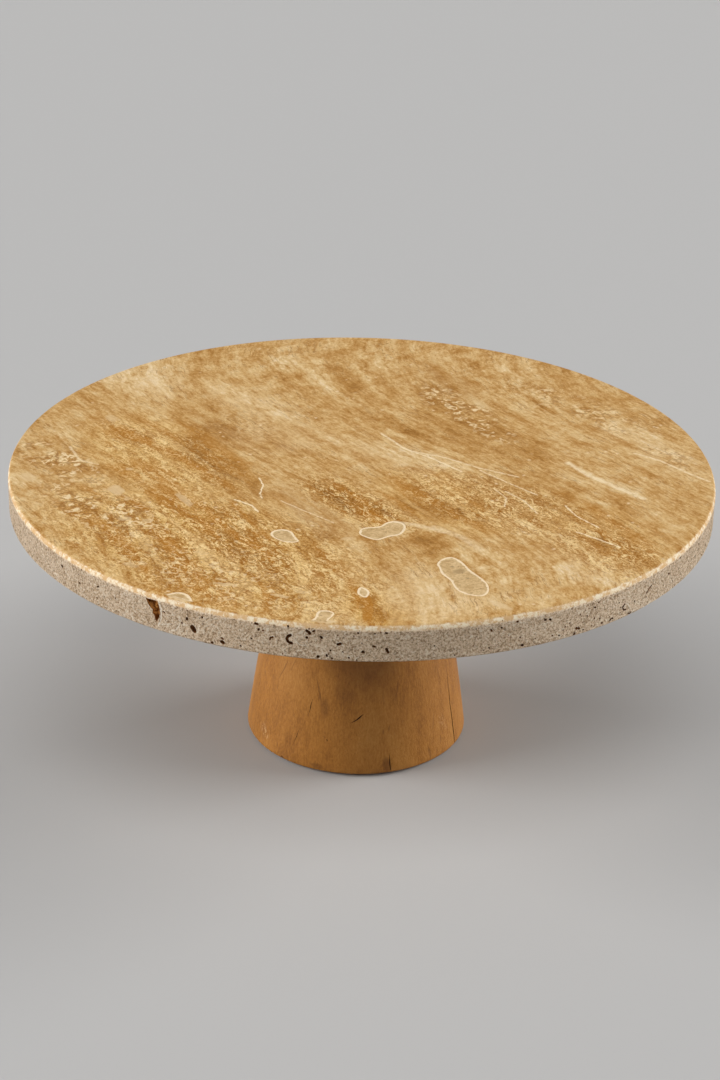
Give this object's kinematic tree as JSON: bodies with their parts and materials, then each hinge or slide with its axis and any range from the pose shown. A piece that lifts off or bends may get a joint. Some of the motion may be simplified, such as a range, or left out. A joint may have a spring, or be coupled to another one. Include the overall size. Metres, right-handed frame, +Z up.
{
  "type": "cake stand",
  "caption": "Round travertine cake plate with resin-filled holes and a raw pitted rim, bolted through a tapered turned wooden foot that stands on let-in pads.",
  "frame": {"origin": "on the table at the centre of the foot, which is the bottom centre of the bounding box", "axes": "+Z up along the axis of the foot and the plate; -Y towards the front, where the two fillings run out through the plate's edge"},
  "size_m": [0.3, 0.3, 0.1275],
  "materials": {
    "travertine": "top face honed and sealed, rim and underside sawn and left raw with open pits",
    "filler": "cream and tan filling resin, polished flush with the stone",
    "bedding_resin": "cast two-part resin",
    "brass": "machined, straight-knurled",
    "gasket": "cork-filled rubber sheet",
    "wood": "turned solid hardwood, oiled",
    "steel": "zinc-plated",
    "pad": "moulded silicone, slightly glossy"
  },
  "bodies": {
    "root": {"travertine_plate": "travertine", "fill_long_right": "filler", "fill_centre": "filler", "fill_left": "filler", "fill_small_oval": "filler", "fill_front_edge": "filler", "fill_left_edge": "filler", "threaded_insert": "brass", "insert_resin": "bedding_resin", "seat_gasket": "gasket", "turned_foot": "wood", "flat_washer": "steel", "spring_washer": "steel", "clamp_bolt": "steel", "bore_plug": "wood", "foot_pad_1": "pad", "foot_pad_2": "pad", "foot_pad_3": "pad", "foot_pad_4": "pad"}
  },
  "joints": []
}
